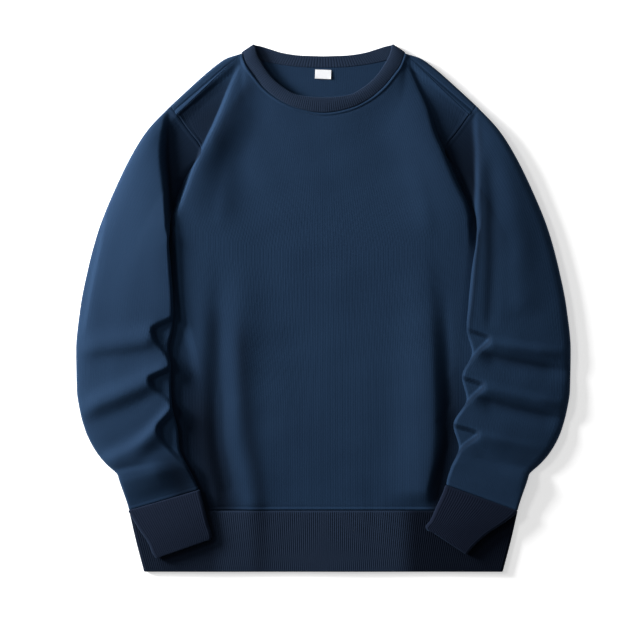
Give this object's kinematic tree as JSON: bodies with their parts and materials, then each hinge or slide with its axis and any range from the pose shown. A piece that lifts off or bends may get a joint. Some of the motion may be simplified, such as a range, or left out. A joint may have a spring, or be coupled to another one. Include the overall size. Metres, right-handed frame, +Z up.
{
  "type": "crewneck sweatshirt",
  "caption": "Long-sleeved crewneck sweatshirt of heavy plain jersey with ribbed neckband, cuffs and hem band, laid flat on its back with the sleeves at its sides.",
  "frame": {"origin": "middle of the garment's footprint, on the table that it lies on", "axes": "+X to the right as seen from above, +Y towards the neck, +Z up out of the front"},
  "size_m": [0.6439, 0.6873, 0.0249],
  "materials": {
    "jersey": "matte navy jersey with a soft sheen",
    "ribbing": "matte dark navy rib knit",
    "label": "plain white woven tape"
  },
  "bodies": {
    "root": {"front": "jersey", "back": "jersey", "sleeve_left": "jersey", "sleeve_right": "jersey", "collar": "ribbing", "hem_band": "ribbing", "cuff_left": "ribbing", "cuff_right": "ribbing", "label": "label"}
  },
  "joints": []
}
